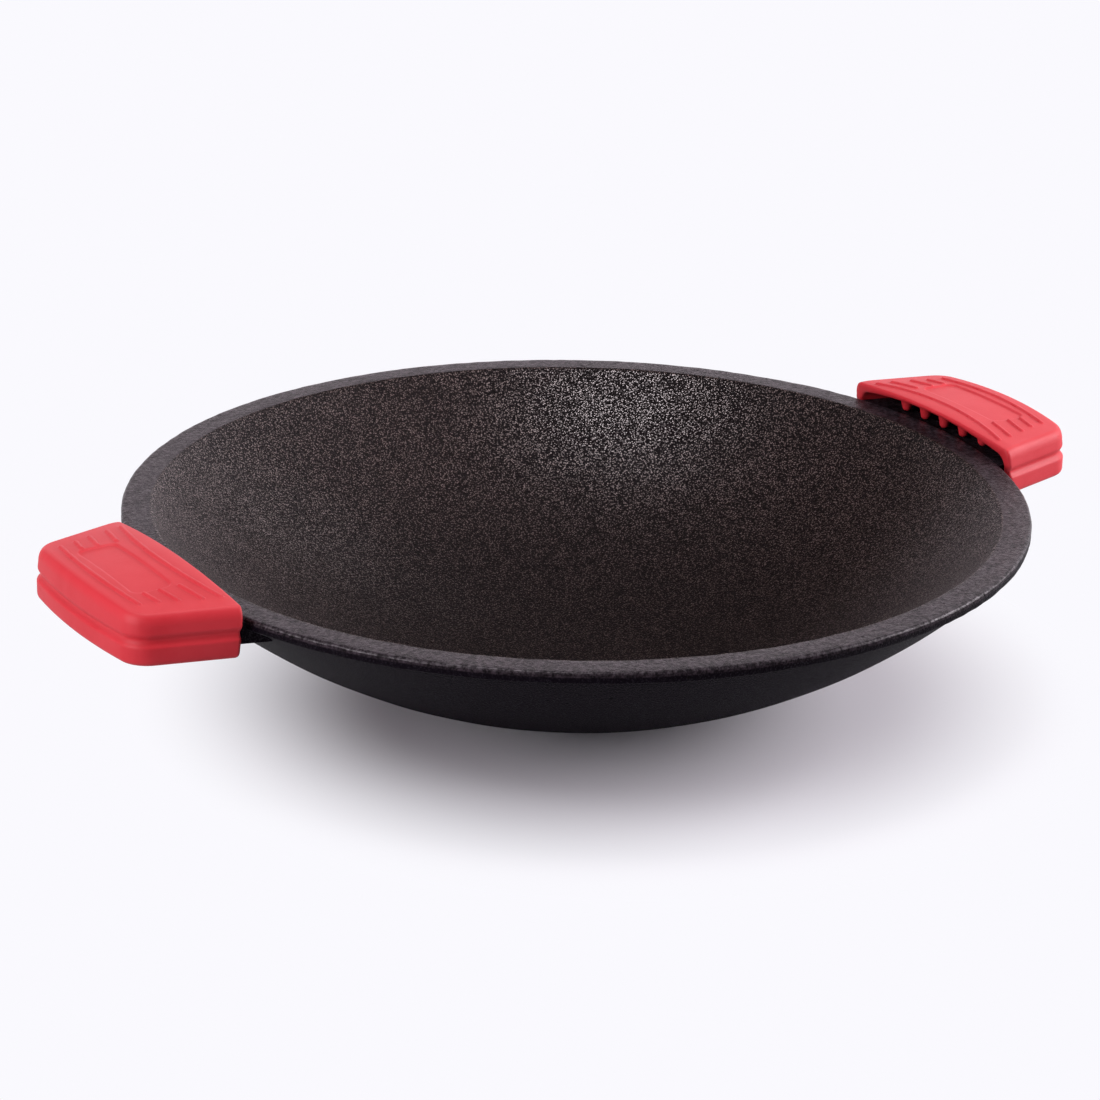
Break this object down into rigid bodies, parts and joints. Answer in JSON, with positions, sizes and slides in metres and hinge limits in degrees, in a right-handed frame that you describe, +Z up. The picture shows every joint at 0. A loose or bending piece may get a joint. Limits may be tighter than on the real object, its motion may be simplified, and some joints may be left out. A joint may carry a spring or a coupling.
{
  "type": "cast-iron appam pan",
  "caption": "Shallow round cast-iron pan with a flat rim and slotted lugs, each lug covered by a pull-off red silicone grip.",
  "frame": {"origin": "centre of the flat base, on the surface that the pan stands on", "axes": "+Z up through the rim, +X and -X through the two lugs and their grips"},
  "size_m": [0.3296, 0.27, 0.0644],
  "materials": {
    "pan_iron": "seasoned, pebbled as-cast surface",
    "grip_silicone": "satin moulded"
  },
  "bodies": {
    "pan": {"pan_casting": "pan_iron"},
    "grip_right": {"grip_right": "grip_silicone"},
    "grip_left": {"grip_left": "grip_silicone"}
  },
  "joints": [
    {"name": "grip_right_slide", "type": "slide", "parent": "pan", "child": "grip_right", "axis": [1, 0, 0], "range_m": [0, 0.05]},
    {"name": "grip_left_slide", "type": "slide", "parent": "pan", "child": "grip_left", "axis": [-1, 0, 0], "range_m": [0, 0.05]}
  ]
}
